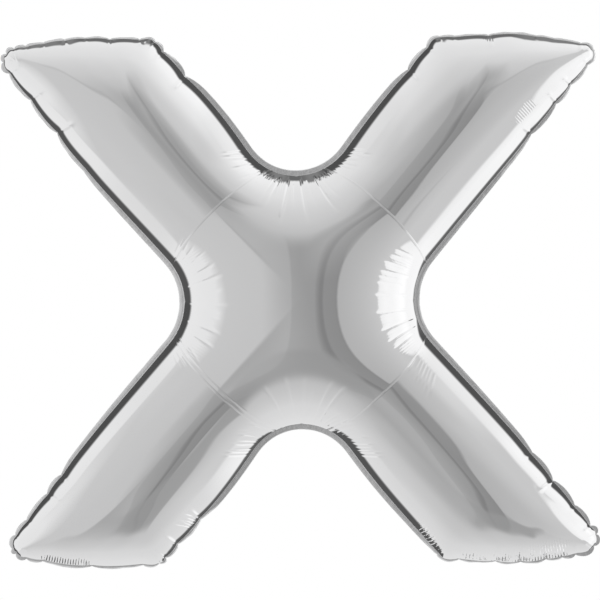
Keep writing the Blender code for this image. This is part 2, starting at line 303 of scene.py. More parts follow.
def spread(start, end, count, rim_at):
    """Travels from start to end, closer together at pinches and at the ends named in rim_at."""
    travel = np.linspace(start, end, SAMPLES)
    size = np.full(len(travel), COARSE_CELL)
    around = travel % OUTLINE.length
    for place, _ in PUCKERS:
        apart = np.abs(around - place)
        apart = np.minimum(apart, OUTLINE.length - apart)
        size = np.minimum(size, FINE_CELL + PUCKER_GROWTH * np.maximum(apart - PUCKER_CORE, 0.0))
    for first, last, *_ in FANS:
        apart = np.maximum(np.maximum(first - around, around - last), 0.0)
        size = np.minimum(size, FAN_CELL + FAN_GROWTH * apart)
    for end_place in rim_at:
        size = np.minimum(size, RIM_CELL + RIM_GROWTH * np.abs(travel - end_place))
    total = np.concatenate([[0.0], np.cumsum((1 / size[1:] + 1 / size[:-1]) / 2)])
    return np.interp(np.linspace(0, total[-1], count + 1), total, travel)


def column_shares():
    """Shares across an arm, closer together at both rims, as on a round tube."""
    share = np.linspace(0, 1, COLUMNS + 1)
    return ROUND_SHARE * (1 - np.cos(math.pi * share)) / 2 + (1 - ROUND_SHARE) * share


def solve(first, second, weight, fixed, start, load, tolerance):
    """Rest positions of a net of springs, by conjugate gradients. Fixed knots keep their start."""
    count = len(start)
    total = np.bincount(first, weight, count) + np.bincount(second, weight, count)
    free = ~fixed

    def pull(values):
        result = total * values
        result -= np.bincount(first, weight * values[second], count)
        result -= np.bincount(second, weight * values[first], count)
        return result

    result = start.astype(float)
    left = (load - pull(result)) * free
    scaled = left / total
    heading = scaled.copy()
    size = left @ scaled
    goal = size * tolerance**2
    for _ in range(MOST_ROUNDS):
        if size <= goal:
            break
        image = pull(heading) * free
        length = size / (heading @ image)
        result += length * heading
        left -= length * image
        scaled = left / total
        before, size = size, left @ scaled
        heading = scaled + heading * (size / before)
    return result


def merged(first, second, weight, count):
    """The same springs with those between the same two knots added together."""
    low, high = np.minimum(first, second), np.maximum(first, second)
    keys, place = np.unique(low.astype(np.int64) * count + high, return_inverse=True)
    return keys // count, keys % count, np.bincount(place.ravel(), weight, len(keys))


def number_knots():
    """Knot numbers of the middle and of each arm, in rows and columns, and how many knots there are."""
    side = COLUMNS + 1
    rows = STUB_ROWS + ARM_ROWS
    centre = np.arange(side * side).reshape(side, side)
    roots = {
        "upper_left": centre[:, 0],
        "upper_right": centre[-1, :],
        "lower_right": centre[::-1, -1],
        "lower_left": centre[0, ::-1],
    }
    total = side * side
    grids = {}
    for name in ARMS:
        body = np.arange(total, total + rows * side).reshape(rows, side)
        grids[name] = np.vstack([roots[name], body])
        total += rows * side
    return centre, grids, total


def side_travels(notch, corner, search):
    """Travels of the rim knots along one side of an arm, from its notch past its crease to its end."""
    crease = crease_travel(notch, notch + search)
    stub = np.linspace(notch, crease, STUB_ROWS + 1)
    return np.concatenate([stub, spread(crease, corner, ARM_ROWS, [corner, crease])[1:]])


def crease_points(ends, shares):
    """Points along a crease between the two rim points where it ends."""
    first, last = (math.atan2(z, x) for x, z in ends)
    sweep = (first - last) % (2 * math.pi)
    turns = first - sweep * shares
    ray = np.column_stack([np.cos(turns), np.sin(turns)])
    return ray * crease_reach(ray)[:, None]


def between(points, row, shares):
    """Points on the straight line between the end knots of a row."""
    start, end = points[row[0]], points[row[-1]]
    return start + (end - start) * shares[:, None]


def net_springs(blocks, total):
    """Springs along the edges of the cells, as stiff as the cells are broad for their length."""
    first, second, weight = [], [], []
    for grid, width, height in blocks:
        tall = (np.concatenate([[0], height]) + np.concatenate([height, [0]])) / 2
        wide = (np.concatenate([[0], width]) + np.concatenate([width, [0]])) / 2
        first += [grid[:, :-1].ravel(), grid[:-1].ravel()]
        second += [grid[:, 1:].ravel(), grid[1:].ravel()]
        weight += [(tall[:, None] / width[None, :]).ravel(), (wide[None, :] / height[:, None]).ravel()]
    return merged(np.concatenate(first), np.concatenate(second), np.concatenate(weight), total)


def net_cells(points, blocks):
    """All cells, and the panel of each: an arm's number in ARMS, or one more for the middle."""
    cells, panels = [], []
    for panel, (grid, _, _) in enumerate(blocks):
        quads = np.stack([grid[:-1, :-1], grid[:-1, 1:], grid[1:, 1:], grid[1:, :-1]], axis=-1)
        cells.append(quads.reshape(-1, 4))
        within = np.arange(len(quads)) < STUB_ROWS if panel < len(ARMS) else np.ones(len(quads), bool)
        panels.append(np.repeat(np.where(within, len(ARMS), panel), quads.shape[1]))
    cells = np.vstack(cells)
    turned = cell_area(points, cells) < 0
    cells[turned] = cells[turned][:, ::-1]
    return cells, np.concatenate(panels)


def lay_net():
    """The film laid flat as a net of four-sided cells: points, cells, panels, rim and crease knots."""
    shares = column_shares()
    width = np.diff(shares) * ARM_WIDTH
    centre, grids, total = number_knots()
    points = np.zeros((total, 2))
    rim = np.zeros(total, bool)
    crease = np.zeros(total, bool)
    blocks = []
    corner = OUTLINE.corner
    for name, (near, tip, inner, far) in ARMS.items():
        grid = grids[name]
        begin = corner[near] - (OUTLINE.length if corner[near] > corner[tip] else 0)
        one = side_travels(begin, corner[tip], CREASE_SEARCH)
        other = side_travels(corner[far], corner[inner], -CREASE_SEARCH)
        across = spread(corner[tip], corner[inner], COLUMNS, [corner[tip], corner[inner]])
        for knots, travel in ((grid[:, 0], one), (grid[:, -1], other), (grid[-1], across)):
            points[knots] = OUTLINE.at(travel, rim_inset(travel % OUTLINE.length))
            rim[knots] = True
        points[grid[0]] = between(points, grid[0], shares)
        for row in grid[1:-1]:
            points[row[1:-1]] = between(points, row, shares)[1:-1]
        on_crease = grid[STUB_ROWS]
        points[on_crease[1:-1]] = crease_points(points[on_crease[[0, -1]]], shares)[1:-1]
        crease[on_crease[1:-1]] = True
        blocks.append((grid, width, (np.abs(np.diff(one)) + np.abs(np.diff(other))) / 2))
    for row in centre[1:-1]:
        points[row[1:-1]] = between(points, row, shares)[1:-1]
    blocks.append((centre, width, width))
    springs = net_springs(blocks, total)
    for axis in (0, 1):
        points[:, axis] = solve(*springs, rim | crease, points[:, axis], 0.0, NET_TOLERANCE)
    cells, panels = net_cells(points, blocks)
    return points, cells, panels, rim, crease


def cell_area(points, cells):
    """Area of each cell, below zero where its corners run the other way round."""
    diagonal = points[cells[:, 2]] - points[cells[:, 0]]
    other = points[cells[:, 3]] - points[cells[:, 1]]
    return (diagonal[:, 0] * other[:, 1] - diagonal[:, 1] * other[:, 0]) / 2


def inflate(points, cells, rim, crease):
    """How far the gas lifts each knot off the weld's plane, as in the CAD model."""
    halves = ([0, 1, 2], [0, 2, 3], [1, 2, 3], [1, 3, 0])
    triangles = np.vstack([cells[:, half] for half in halves])
    first, second, weight = [], [], []
    load = np.zeros(len(points))
    corners = points[triangles]
    area = np.abs(
        (corners[:, 1, 0] - corners[:, 0, 0]) * (corners[:, 2, 1] - corners[:, 0, 1])
        - (corners[:, 1, 1] - corners[:, 0, 1]) * (corners[:, 2, 0] - corners[:, 0, 0])
    ) / 2
    area = np.maximum(area, LEAST_AREA)
    middle = corners.mean(axis=1)
    share = np.where(np.linalg.norm(middle, axis=1) < crease_reach(middle), DOME_LOAD, 1.0)
    boost = np.where(middle[:, 1] < 0, LOWER_END_BOOST, UPPER_END_BOOST)
    share = share + boost * np.exp(-(((END_LINE - np.abs(middle[:, 1])) / END_REACH) ** 2))
    for index in range(3):
        here, after, before = index, (index + 1) % 3, (index + 2) % 3
        to_after = corners[:, after] - corners[:, here]
        to_before = corners[:, before] - corners[:, here]
        first.append(triangles[:, after])
        second.append(triangles[:, before])
        weight.append((to_after * to_before).sum(axis=1) / (4 * area) / 2)
        load += np.bincount(triangles[:, index], share * area / 3, len(points))
    springs = merged(np.concatenate(first), np.concatenate(second), np.concatenate(weight), len(points))
    lift = solve(*springs, rim, np.zeros(len(points)), load, LIFT_TOLERANCE)
    lift[crease] *= CREASE_PULL
    lift = solve(*springs, rim | crease, lift, load, LIFT_TOLERANCE)
    return FULLNESS * np.sqrt(np.maximum(lift, 0.0))


# Wrinkles of the film, pushed out along its normal
WRINKLED_EDGE = 0.110
RIM_FADE = 0.003
WRINKLE_WIDENING = 0.8
WRINKLE_BEGINS = (-0.02, 0.14)
WRINKLE_ENDS = (0.50, 1.0)
SPOKE_WIDTH = 0.0011
SPOKE_RISE = 2.1
FAN_WIDTH = 0.0010
FAN_RISE = 0.9
# Random spread of the wrinkles of a fan: place in spacings, lean, share of length, start, share of rise
FAN_PLACES = (-0.2, 0.2)
FAN_LEANS = (-0.06, 0.06)
FAN_LENGTHS = (0.55, 1.15)
FAN_STARTS = (0.0, 0.004)
FAN_RISES = (0.6, 1.2)
PUCKER_START = 0.002
PUCKER_LENGTH = 0.034
PUCKER_LENGTHS = (0.7, 1.2)
PUCKER_LEANS = (-0.2, 0.2)
PUCKER_WIDTH = 0.0022
PUCKER_DEPTH = 1.0 * MM
# Grooves of the creases. A second, shallower one lies further in on the lower left
GROOVE_WIDTH = 0.0012
GROOVE_DEPTH = 0.0004
SECOND_GROOVE = 0.008
SECOND_DEPTH = 0.7 * GROOVE_DEPTH
# Faint ripples along the arms: two lengths, and how the first one wavers
RIPPLE = 0.0068
SECOND_RIPPLE = 0.0119
SECOND_RIPPLE_SHARE = 0.7
RIPPLE_WAVER = 0.2
RIPPLE_WAVER_LENGTH = 0.16
RIPPLE_RISE = 0.08
LOWER_RIPPLE_RISE = 0.03


def smooth_step(value, start, end):
    """From 0 at start to 1 at end, with soft ends."""
    share = np.clip((value - start) / (end - start), 0.0, 1.0)
    return share * share * (3 - 2 * share)


def apart_from(travel, place):
    """Signed distance along the outline from a place."""
    half = OUTLINE.length / 2
    return (travel - place + half) % OUTLINE.length - half


def wrinkle(travel, inset, place, first_inset, length, lean, width):
    """One wrinkle of unit height: it starts sharply, then widens and dies out inwards."""
    share = (inset - first_inset) / length
    sideways = apart_from(travel, place) - lean * (inset - first_inset)
    reach = width * (1 + WRINKLE_WIDENING * np.clip(share, 0, 1))
    ends = smooth_step(share, *WRINKLE_BEGINS) * (1 - smooth_step(share, *WRINKLE_ENDS))
    return np.exp(-((sideways / reach) ** 2)) * ends


def rim_relief(travel, inset):
    """How far the spokes, fans and puckers push the film out."""
    rng = np.random.default_rng(7)
    relief = np.zeros(len(travel))
    for place, first_inset, length, lean, size in SPOKES:
        rise = SPOKE_RISE * size * MM
        relief += rise * wrinkle(travel, inset, place, first_inset, length, lean, SPOKE_WIDTH)
    for start, end, spacing, first_inset, length, first_lean, last_lean, size in FANS:
        count = max(2, round((end - start) / spacing))
        for share in np.linspace(0, 1, count):
            place = start + (end - start) * share + rng.uniform(*FAN_PLACES) * spacing
            lean = first_lean + (last_lean - first_lean) * share + rng.uniform(*FAN_LEANS)
            reach = length * rng.uniform(*FAN_LENGTHS)
            first = first_inset + rng.uniform(*FAN_STARTS)
            rise = FAN_RISE * size * MM * rng.uniform(*FAN_RISES)
            relief += rise * wrinkle(travel, inset, place, first, reach, lean, FAN_WIDTH)
    for place, strength in PUCKERS:
        reach = PUCKER_LENGTH * strength * rng.uniform(*PUCKER_LENGTHS)
        lean = rng.uniform(*PUCKER_LEANS)
        fold = wrinkle(travel, inset, place, PUCKER_START, reach, lean, PUCKER_WIDTH)
        relief -= PUCKER_DEPTH * strength * fold
    return relief * smooth_step(inset - rim_inset(travel), 0.0, RIM_FADE)


def ripple_height(points, inset, beyond):
    """Faint ripples along the arms, a little stronger on the legs."""
    x, z = points.T
    sideways = np.where(x * z > 0, x - z, x + z)
    lengthways = np.abs(x) + np.abs(z)
    ripple = np.sin(sideways / RIPPLE + RIPPLE_WAVER * np.sin(lengthways / RIPPLE_WAVER_LENGTH))
    ripple += SECOND_RIPPLE_SHARE * np.sin(sideways / SECOND_RIPPLE + 1.0)
    ripple *= smooth_step(beyond, 0.0, 0.06) * smooth_step(inset, 0.02, 0.05)
    lower = smooth_step(-z, -0.05, 0.10)
    return (RIPPLE_RISE + LOWER_RIPPLE_RISE * lower) * MM * ripple


def wrinkle_height(points, travel, inset):
    """How far all wrinkles, puckers, grooves and ripples push the film out along its normal."""
    height = np.zeros(len(points))
    edge = np.nonzero(inset < WRINKLED_EDGE)[0]
    height[edge] = rim_relief(travel[edge], inset[edge])
    beyond = np.linalg.norm(points, axis=1) - crease_reach(points)
    height -= GROOVE_DEPTH * np.exp(-((beyond / GROOVE_WIDTH) ** 2))
    lower_left = (points[:, 0] < 0) & (points[:, 1] < 0)
    height -= SECOND_DEPTH * np.exp(-(((beyond + SECOND_GROOVE) / GROOVE_WIDTH) ** 2)) * lower_left
    return height + ripple_height(points, inset, beyond)


def divide(points, cells, depth):
    """Each cell smoothly divided in four: points, cells and depth of the finer net."""
    mesh = bpy.data.meshes.new("net")
    mesh.from_pydata(np.column_stack([points, depth]).tolist(), [], cells.tolist())
    net = bpy.data.objects.new("net", mesh)
    bpy.context.scene.collection.objects.link(net)
    net.modifiers.new("finer", "SUBSURF").levels = 1
    finer = net.evaluated_get(bpy.context.evaluated_depsgraph_get()).to_mesh()
    place = np.zeros(3 * len(finer.vertices), dtype=np.float32)
    finer.vertices.foreach_get("co", place)
    corners = np.zeros(len(finer.loops), dtype=np.int32)
    finer.loops.foreach_get("vertex_index", corners)
    net.to_mesh_clear()
    bpy.data.objects.remove(net)
    bpy.data.meshes.remove(mesh)
    place = place.reshape(-1, 3).astype(float)
    cells = corners.reshape(-1, 4)
    edges = np.sort(np.stack([cells, np.roll(cells, -1, axis=1)], axis=-1).reshape(-1, 2), axis=1)
    edges, uses = np.unique(edges, axis=0, return_counts=True)
    rim = np.unique(edges[uses == 1])
    travel, _ = OUTLINE.locate(place[rim, :2])
    place[rim, :2] = OUTLINE.at(travel, rim_inset(travel))
    place[rim, 2] = 0.0
    return place[:, :2], cells, np.maximum(place[:, 2], 0.0)


def surface_normals(place, cells):
    """The normal at each point, from the cells around it."""
    diagonal = place[cells[:, 2]] - place[cells[:, 0]]
    other = place[cells[:, 3]] - place[cells[:, 1]]
    facing = np.cross(diagonal, other)
    normals = np.zeros_like(place)
    for corner in range(4):
        for axis in range(3):
            normals[:, axis] += np.bincount(cells[:, corner], facing[:, axis], len(place))
    return normals / np.linalg.norm(normals, axis=1)[:, None]


def mesh_object(name, points, faces, material, smooth=True):
    """A named piece of these points and faces."""
    mesh = bpy.data.meshes.new(name)
    faces = faces if isinstance(faces, list) else faces.tolist()
    mesh.from_pydata(np.asarray(points).tolist(), [], faces)
    mesh.validate()
    if smooth:
        mesh.shade_smooth()
    piece = bpy.data.objects.new(name, mesh)
    piece.data.materials.append(material)
    bpy.context.scene.collection.objects.link(piece)
    return piece


def lay_travel(piece, travel, inset):
    """A UV map that holds travel and inset, for the materials. A cell across travel 0 isn't torn."""
    mesh = piece.data
    corners = np.zeros(len(mesh.loops), dtype=np.int32)
    mesh.loops.foreach_get("vertex_index", corners)
    along = travel[corners].reshape(-1, 4)
    torn = along.max(axis=1, keepdims=True) - along > OUTLINE.length / 2
    along = np.where(torn, along + OUTLINE.length, along)
    layer = mesh.uv_layers.new(name="travel_inset")
    layer.data.foreach_set("uv", np.column_stack([along.ravel(), inset[corners]]).ravel().astype(np.float32))


def make_film(name, side, points, cells, panels, depth, relief, travel, inset, foils):
    """One film, front (side -1) or back (side 1), as its middle and four arm panels."""
    place = np.column_stack([points[:, 0], side * (FILM_SEAT + depth), points[:, 1]])
    faces = cells if side > 0 else cells[:, ::-1]
    place += surface_normals(place, faces) * relief[:, None]
    for panel, part in enumerate([f"{arm}_arm" for arm in ARMS] + ["centre"]):
        used, corners = np.unique(faces[panels == panel], return_inverse=True)
        piece = mesh_object(f"{name}_{part}_foil", place[used], corners.reshape(-1, 4), foils[panel])
        lay_travel(piece, travel[used], inset[used])
        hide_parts(f"{name}_{part}")
        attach(piece, "root")


# How far the margin leans back from the front, in degrees, by travel
LEANS = (
    (0.000, 20), (0.060, 62), (0.110, 76), (0.250, 74), (0.300, 30), (0.340, 2), (0.400, 4), (0.860, 4),
    (0.900, 30), (1.020, 74), (1.200, 74), (1.240, 34), (1.300, 44), (1.360, 6), (1.420, 30), (1.500, 8),
    (1.950, 7), (2.050, 8), (2.250, 4), (2.330, 6), (2.360, 50), (2.470, 64), (2.560, 44), (2.620, 6),
    (3.080, 4), (3.130, 50), (3.230, 50), (3.260, 32), (3.440, 32), (3.480, 10), (3.560, 40), (3.700, 14),
    (4.280, 14), (4.330, 40), (4.480, 44), (4.530, 12),
)
MARGIN_STEP = 0.0013
MARGIN_ROWS = 7
MARGIN_UNDER = 0.0022
PLY = 0.00015
LOBE_REACH = 0.0016
LOBE_NOTCH = 0.0062
PUCKER_FOLD = 0.0016
PUCKER_FOLD_LENGTH = 0.05
# Uneven lean: share of it, lengths of its three waves, and how much less a pucker leans
LEAN_WANDER = 0.25
WANDER_LENGTHS = (0.0137, 0.0291, 0.0049)
PUCKER_UPRIGHT = 0.6
# Rolled margin at the right notch: travels where the roll starts, is full, fades and ends
ROLL = (1.42, 1.56, 1.90, 2.04)
ROLL_HEIGHT = 0.0011
ROLL_WIDTH = 0.0072


def make_margin(material):
    """The two welded plies of the margin: lobes between the puckers, leaning back by zones."""
    count = round(OUTLINE.length / MARGIN_STEP)
    travel = np.arange(count) * OUTLINE.length / count
    notch = lobe_depth(travel)
    rim = rim_inset(travel)
    inner = rim + MARGIN_UNDER
    outer = -LOBE_REACH + (LOBE_REACH + LOBE_NOTCH) * notch
    places, angles = np.array(LEANS).T
    lean = np.radians(np.interp(travel, places, angles, period=OUTLINE.length))
    middle, slow, quick = WANDER_LENGTHS
    wander = np.sin(travel / middle) * np.sin(travel / slow + 0.7) + 0.5 * np.sin(travel / quick + 1.0)
    lean = lean * (1 + LEAN_WANDER * wander) * (1 - PUCKER_UPRIGHT * np.clip(notch, 0, 1))
    fold = PUCKER_FOLD * np.clip(notch, 0, 1) ** 3 * np.sign(np.sin(travel / PUCKER_FOLD_LENGTH + 0.3))
    rolled = smooth_step(travel, ROLL[0], ROLL[1]) * (1 - smooth_step(travel, ROLL[2], ROLL[3]))
    rings = []
    insets = []
    for ply in (-1, 1):
        shares = np.linspace(0, 1, MARGIN_ROWS + 1)
        for share in shares if ply < 0 else shares[::-1]:
            inset = inner + (outer - inner) * share
            free = np.maximum(rim - inset, 0.0)
            part = free / (rim - outer)
            turned = lean * free / (rim - outer)
            back = free * np.sin(turned) + fold * part**2 + ROLL_HEIGHT * rolled * np.sin(math.pi * part) ** 2
            drawn_in = free * (1 - np.cos(turned))
            flat = OUTLINE.at(travel, inset + drawn_in)
            rings.append(np.column_stack([flat[:, 0], ply * PLY + back, flat[:, 1]]))
            insets.append(inset)
    rows = len(rings)
    index = np.arange(rows * count).reshape(rows, count)
    beside = np.roll(index, -1, axis=1)
    above = np.roll(index, -1, axis=0)
    corner = np.roll(above, -1, axis=1)
    faces = np.stack([index, above, corner, beside], axis=-1).reshape(-1, 4)
    piece = mesh_object("seam_margin", np.vstack(rings), faces, material)
    lay_travel(piece, np.tile(travel, rows), np.concatenate(insets))
    return piece


# Filling neck: the foil tail behind the lower right leg, folded straight back from the margin
NECK_X = 0.390
NECK_WIDTH = 0.030
NECK_ROOT_WIDTH = 0.046
NECK_ROOT_DEPTH = 0.018
NECK_LENGTH = 0.048
NECK_START = 0.0016
NECK_INSET = 0.0055
NECK_PUFF = 0.0011
NECK_CRINKLE = 0.00018
NECK_ROWS = 44
NECK_ROUND = 72
SLEEVE_WIDTH = 0.021
SLEEVE_LENGTH = 0.014
SLEEVE_TUCK = 0.004
SLEEVE_PUFF = 0.0002
SLEEVE_CRINKLE = 0.00008
# Any tube of film: half its thickness where it is flat, and how far it sways along its length
FLAT_HALF = 0.0004
DROOP = 0.0012


def neck_place():
    """The margin's edge at the neck: a point on it and its inward direction."""
    bottom = (OUTLINE.points[:, 1] < 0) & (np.abs(OUTLINE.points[:, 0] - NECK_X) < OUTLINE_STEP)
    index = np.nonzero(bottom)[0]
    lowest = index[np.argmin(OUTLINE.points[index, 1])]
    return OUTLINE.points[lowest], -OUTLINE.normals[lowest]


def flat_tube(name, rows, puff, crinkle, material, seed):
    """A flattened tube of film along +Y: rows of depth and half width, puffed and crinkled."""
    rng = np.random.default_rng(seed)
    phases = rng.uniform(0, 2 * math.pi, 4)
    place, inward = neck_place()
    along = np.array([inward[1], -inward[0]])
    turns = 2 * math.pi * np.arange(NECK_ROUND) / NECK_ROUND
    across = np.cos(turns)
    first_depth, last_depth = rows[0][0], rows[-1][0]
    rings = []
    for depth, half in rows:
        share = (depth - first_depth) / (last_depth - first_depth)
        swell = puff * math.sin(math.pi * min(1.0, 0.12 + share * 0.80)) ** 0.7 + FLAT_HALF
        lift = swell * np.sin(turns) * (1 - 0.25 * across**2)
        folds = np.sin(5.0 * across + 3.0 * share + phases[0])
        folds += 0.6 * np.sin(11.0 * across - 7.0 * share + phases[1])
        folds += 0.5 * np.sin(23.0 * share + 4.0 * across + phases[2]) * share
        lift += crinkle * folds * np.abs(np.sin(turns)) ** 0.5
        droop = DROOP * math.sin(2.2 * share + phases[3]) * share
        flat = place + along * (half * across)[:, None] + inward * (NECK_INSET + lift + droop)[:, None]
        rings.append(np.column_stack([flat[:, 0], np.full(NECK_ROUND, depth), flat[:, 1]]))
    count = len(rows)
    index = np.arange(count * NECK_ROUND).reshape(count, NECK_ROUND)
    beside = np.roll(index, -1, axis=1)
    faces = np.stack([index[:-1], beside[:-1], beside[1:], index[1:]], axis=-1).reshape(-1, 4).tolist()
    faces += [index[0, ::-1].tolist(), index[-1].tolist()]
    tube = mesh_object(name, np.vstack(rings), faces, material)
    editable = bmesh.new()
    editable.from_mesh(tube.data)
    bmesh.ops.recalc_face_normals(editable, faces=editable.faces)
    editable.to_mesh(tube.data)
    editable.free()
    return tube


def make_neck(foil, clear):
    """The filling neck, wider at its root, and the valve's sleeve looking out of its end."""
    depths = NECK_START + NECK_LENGTH * np.linspace(0, 1, NECK_ROWS)
    flare = 1 - smooth_step(depths, NECK_START, NECK_ROOT_DEPTH)
    halves = NECK_WIDTH / 2 + (NECK_ROOT_WIDTH - NECK_WIDTH) / 2 * flare
    neck = flat_tube("filling_neck_foil", list(zip(depths, halves)), NECK_PUFF, NECK_CRINKLE, foil, 3)
    tip = NECK_START + NECK_LENGTH
    depths = np.linspace(tip - SLEEVE_TUCK, tip + SLEEVE_LENGTH, NECK_ROWS // 2)
    halves = np.full(len(depths), SLEEVE_WIDTH / 2)
    sleeve = flat_tube("valve_sleeve_film", list(zip(depths, halves)), SLEEVE_PUFF, SLEEVE_CRINKLE, clear, 4)
    for piece, slot, node in ((neck, "seam_foil", "filling_neck"), (sleeve, "clear_film", "valve_sleeve")):
        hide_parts(node)
        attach(piece, "root")


class Shader:
    """Short ways to add nodes to one tree."""

    def __init__(self, tree):
        self.tree = tree

    def node(self, kind, **settings):
        made = self.tree.nodes.new(kind)
        for key, value in settings.items():
            setattr(made, key, value)
        return made

    def feed(self, socket, value):
        """Set an input to a value, or link it to another node's output."""
        if isinstance(value, (int, float, tuple)):
            socket.default_value = value
        else:
            self.tree.links.new(value, socket)

    def math(self, operation, *values):
        made = self.node("ShaderNodeMath", operation=operation)
        for socket, value in zip(made.inputs, values):
            self.feed(socket, value)
        return made.outputs[0]

    def ramp(self, value, start, end, low=0.0, high=1.0, smooth=False):
        """From low where the value is at start to high where it is at end."""
        kind = "SMOOTHSTEP" if smooth else "LINEAR"
        made = self.node("ShaderNodeMapRange", interpolation_type=kind)
        for socket, entry in zip(made.inputs, (value, start, end, low, high)):
            self.feed(socket, entry)
        return made.outputs[0]

    def window(self, value, start, full, fading, end, smooth=False):
        """1 from full to fading, and 0 before start and after end."""
        rising = self.ramp(value, start, full, smooth=smooth)
        return self.times(rising, self.ramp(value, end, fading, smooth=smooth))

    def mix(self, share, low, high):
        """Low where the share is 0, high where it is 1."""
        made = self.node("ShaderNodeMix", data_type="FLOAT")
        for place, entry in ((0, share), (2, low), (3, high)):
            self.feed(made.inputs[place], entry)
        return made.outputs[0]

    def steps(self, value, stops):
        """Straight lines from stop to stop."""
        result = stops[0][1]
        for (start, low), (end, high) in zip(stops, stops[1:]):
            if high != low:
                result = self.plus(result, self.ramp(value, start, end, 0.0, high - low))
        return result

    def times(self, *values):
        return reduce(lambda one, other: self.math("MULTIPLY", one, other), values)

    def plus(self, *values):
        return reduce(lambda one, other: self.math("ADD", one, other), values)

    def minus(self, value, other):
        return self.math("SUBTRACT", value, other)

    def noise(self, vector, scale, detail=2.0):
        """Soft random tones by place."""
        made = self.node("ShaderNodeTexNoise")
        self.feed(made.inputs["Scale"], scale)
        self.feed(made.inputs["Detail"], detail)
        self.feed(made.inputs["Vector"], vector)
        return made.outputs["Fac"]

    def bump(self, shader, height):
        """Let a height in metres tilt the shader's surface."""
        made = self.node("ShaderNodeBump")
        self.feed(made.inputs["Distance"], 1.0)
        self.feed(made.inputs["Height"], height)
        self.feed(shader.inputs["Normal"], made.outputs[0])


def principled(name, colour):
    """A material of this colour: itself, its shader and a way to add nodes to it."""
    material = bpy.data.materials.new(name)
    material.use_nodes = True
    shader = material.node_tree.nodes["Principled BSDF"]
    shader.inputs["Base Color"].default_value = (*colour, 1.0)
    return material, shader, Shader(material.node_tree)


FILM_COLOUR = 0.88
FILM_ROUGHNESS = (0.02, 0.05)
ORANGE_PEEL = 0.010 * MM
MARGIN_ROUGHNESS = (0.10, 0.24)
# Relief of the margin: lines of the welding bar with their spacing, crinkles, broad waves, and the roll
BAR_LINES = 0.035 * MM
BAR_SPACING = 0.0022
CRINKLES = 0.03 * MM
BROAD_WAVES = 0.6 * MM
ROLL_BUMP = 0.5 * MM
ROLL_PHASE = math.pi / 2 + 1.4
SLEEVE_ROUGHNESS = (0.08, 0.35)
SLEEVE_CREASES = 0.15 * MM

# Fine pleats in the bump: first and last travel, spacing, first inset, length, lean, height in mm.
# Arms and middle have a material each, because one with all of them is too large and renders black
ARM_PLEATS = (
    (1.031, 1.045, 0.0040, 0.010, 0.018, 0.00, 0.14),
    (1.374, 1.408, 0.0046, 0.028, 0.024, -0.10, 0.12),
    (2.340, 2.462, 0.0050, 0.004, 0.034, 0.05, 0.55),
    (2.462, 2.530, 0.0058, 0.004, 0.026, 0.00, 0.50),
    (2.580, 2.628, 0.0066, 0.004, 0.020, -0.20, 0.35),
    (3.128, 3.150, 0.0050, 0.007, 0.018, 0.35, 0.25),
    (3.356, 3.440, 0.0046, 0.004, 0.024, -0.10, 0.55),
)
CENTRE_PLEATS = (
    (0.556, 0.586, 0.0030, 0.017, 0.010, -0.10, 0.16),
    (0.580, 0.640, 0.0028, 0.022, 0.055, 0.00, 0.030),
    (0.640, 0.664, 0.0030, 0.017, 0.010, 0.10, 0.16),
    (1.700, 1.815, 0.0032, 0.024, 0.055, 0.05, 0.040),
    (2.850, 2.944, 0.0030, 0.018, 0.055, 0.00, 0.035),
    (3.950, 4.078, 0.0032, 0.020, 0.055, 0.00, 0.040),
)
PLEAT_JITTER = 2.2
PLEAT_SOFTNESS = 1.5
PLEAT_START = 0.003
CREASE_LINE_WIDTH = 0.0008
CREASE_LINE_HEIGHT = 0.00022


def travel_and_inset(s):
    """The UV map, and the travel and the inset that it holds."""
    uv = s.node("ShaderNodeUVMap", uv_map="travel_inset").outputs[0]
    parts = s.node("ShaderNodeSeparateXYZ")
    s.feed(parts.inputs[0], uv)
    return uv, parts.outputs[0], parts.outputs[1]


def pleat_height(s, pleats):
    """Height of these fine pleats, in metres."""
    uv, travel, inset = travel_and_inset(s)
    ragged = s.noise(uv, 240.0)
    uneven = s.ramp(s.noise(uv, 70.0), 0.35, 0.65, 0.6, 1.2)
    jitter = s.times(ragged, PLEAT_JITTER)
    total = 0.0
    for first, last, spacing, first_inset, length, lean, height in pleats:
        depth = s.minus(inset, first_inset)
        along = s.minus(travel, s.times(depth, lean))
        wave = s.math("SINE", s.math("MULTIPLY_ADD", along, 2 * math.pi / spacing, jitter))
        soft = PLEAT_SOFTNESS * spacing
        window = s.window(along, first - soft, first + soft, last - soft, last + soft)
        reach = s.times(s.plus(ragged, 0.5), length)
        fade = s.ramp(s.math("DIVIDE", depth, reach), 1.0, 0.35, smooth=True)
        rise = s.ramp(depth, 0.0, PLEAT_START)
        total = s.plus(total, s.times(wave, window, fade, rise, uneven, height * MM))
    return total


def crease_line(s, place):
    """Height of the fine line that the creases draw across the arm roots, in metres."""
    parts = s.node("ShaderNodeSeparateXYZ")
    s.feed(parts.inputs[0], place)
    x, _, z = parts.outputs
    x2, z2 = s.times(x, x), s.times(z, z)
    total = s.math("MAXIMUM", s.plus(x2, z2), 1e-6)
    turn = s.math("DIVIDE", s.minus(x2, z2), total)
    reach = s.math("MULTIPLY_ADD", s.times(turn, turn), CREASE_FLARE, CREASE_RADIUS)
    beyond = s.minus(s.math("SQRT", total), reach)
    line = s.ramp(s.math("ABSOLUTE", beyond), CREASE_LINE_WIDTH, 0.0, smooth=True)
    within = s.math("ABSOLUTE", s.plus(beyond, SECOND_GROOVE))
    inner = s.ramp(within, CREASE_LINE_WIDTH, 0.0, smooth=True)
    lower_left = s.times(s.ramp(x, 0.0, -0.01), s.ramp(z, 0.0, -0.01))
    return s.times(s.math("MULTIPLY_ADD", inner, lower_left, line), -CREASE_LINE_HEIGHT)


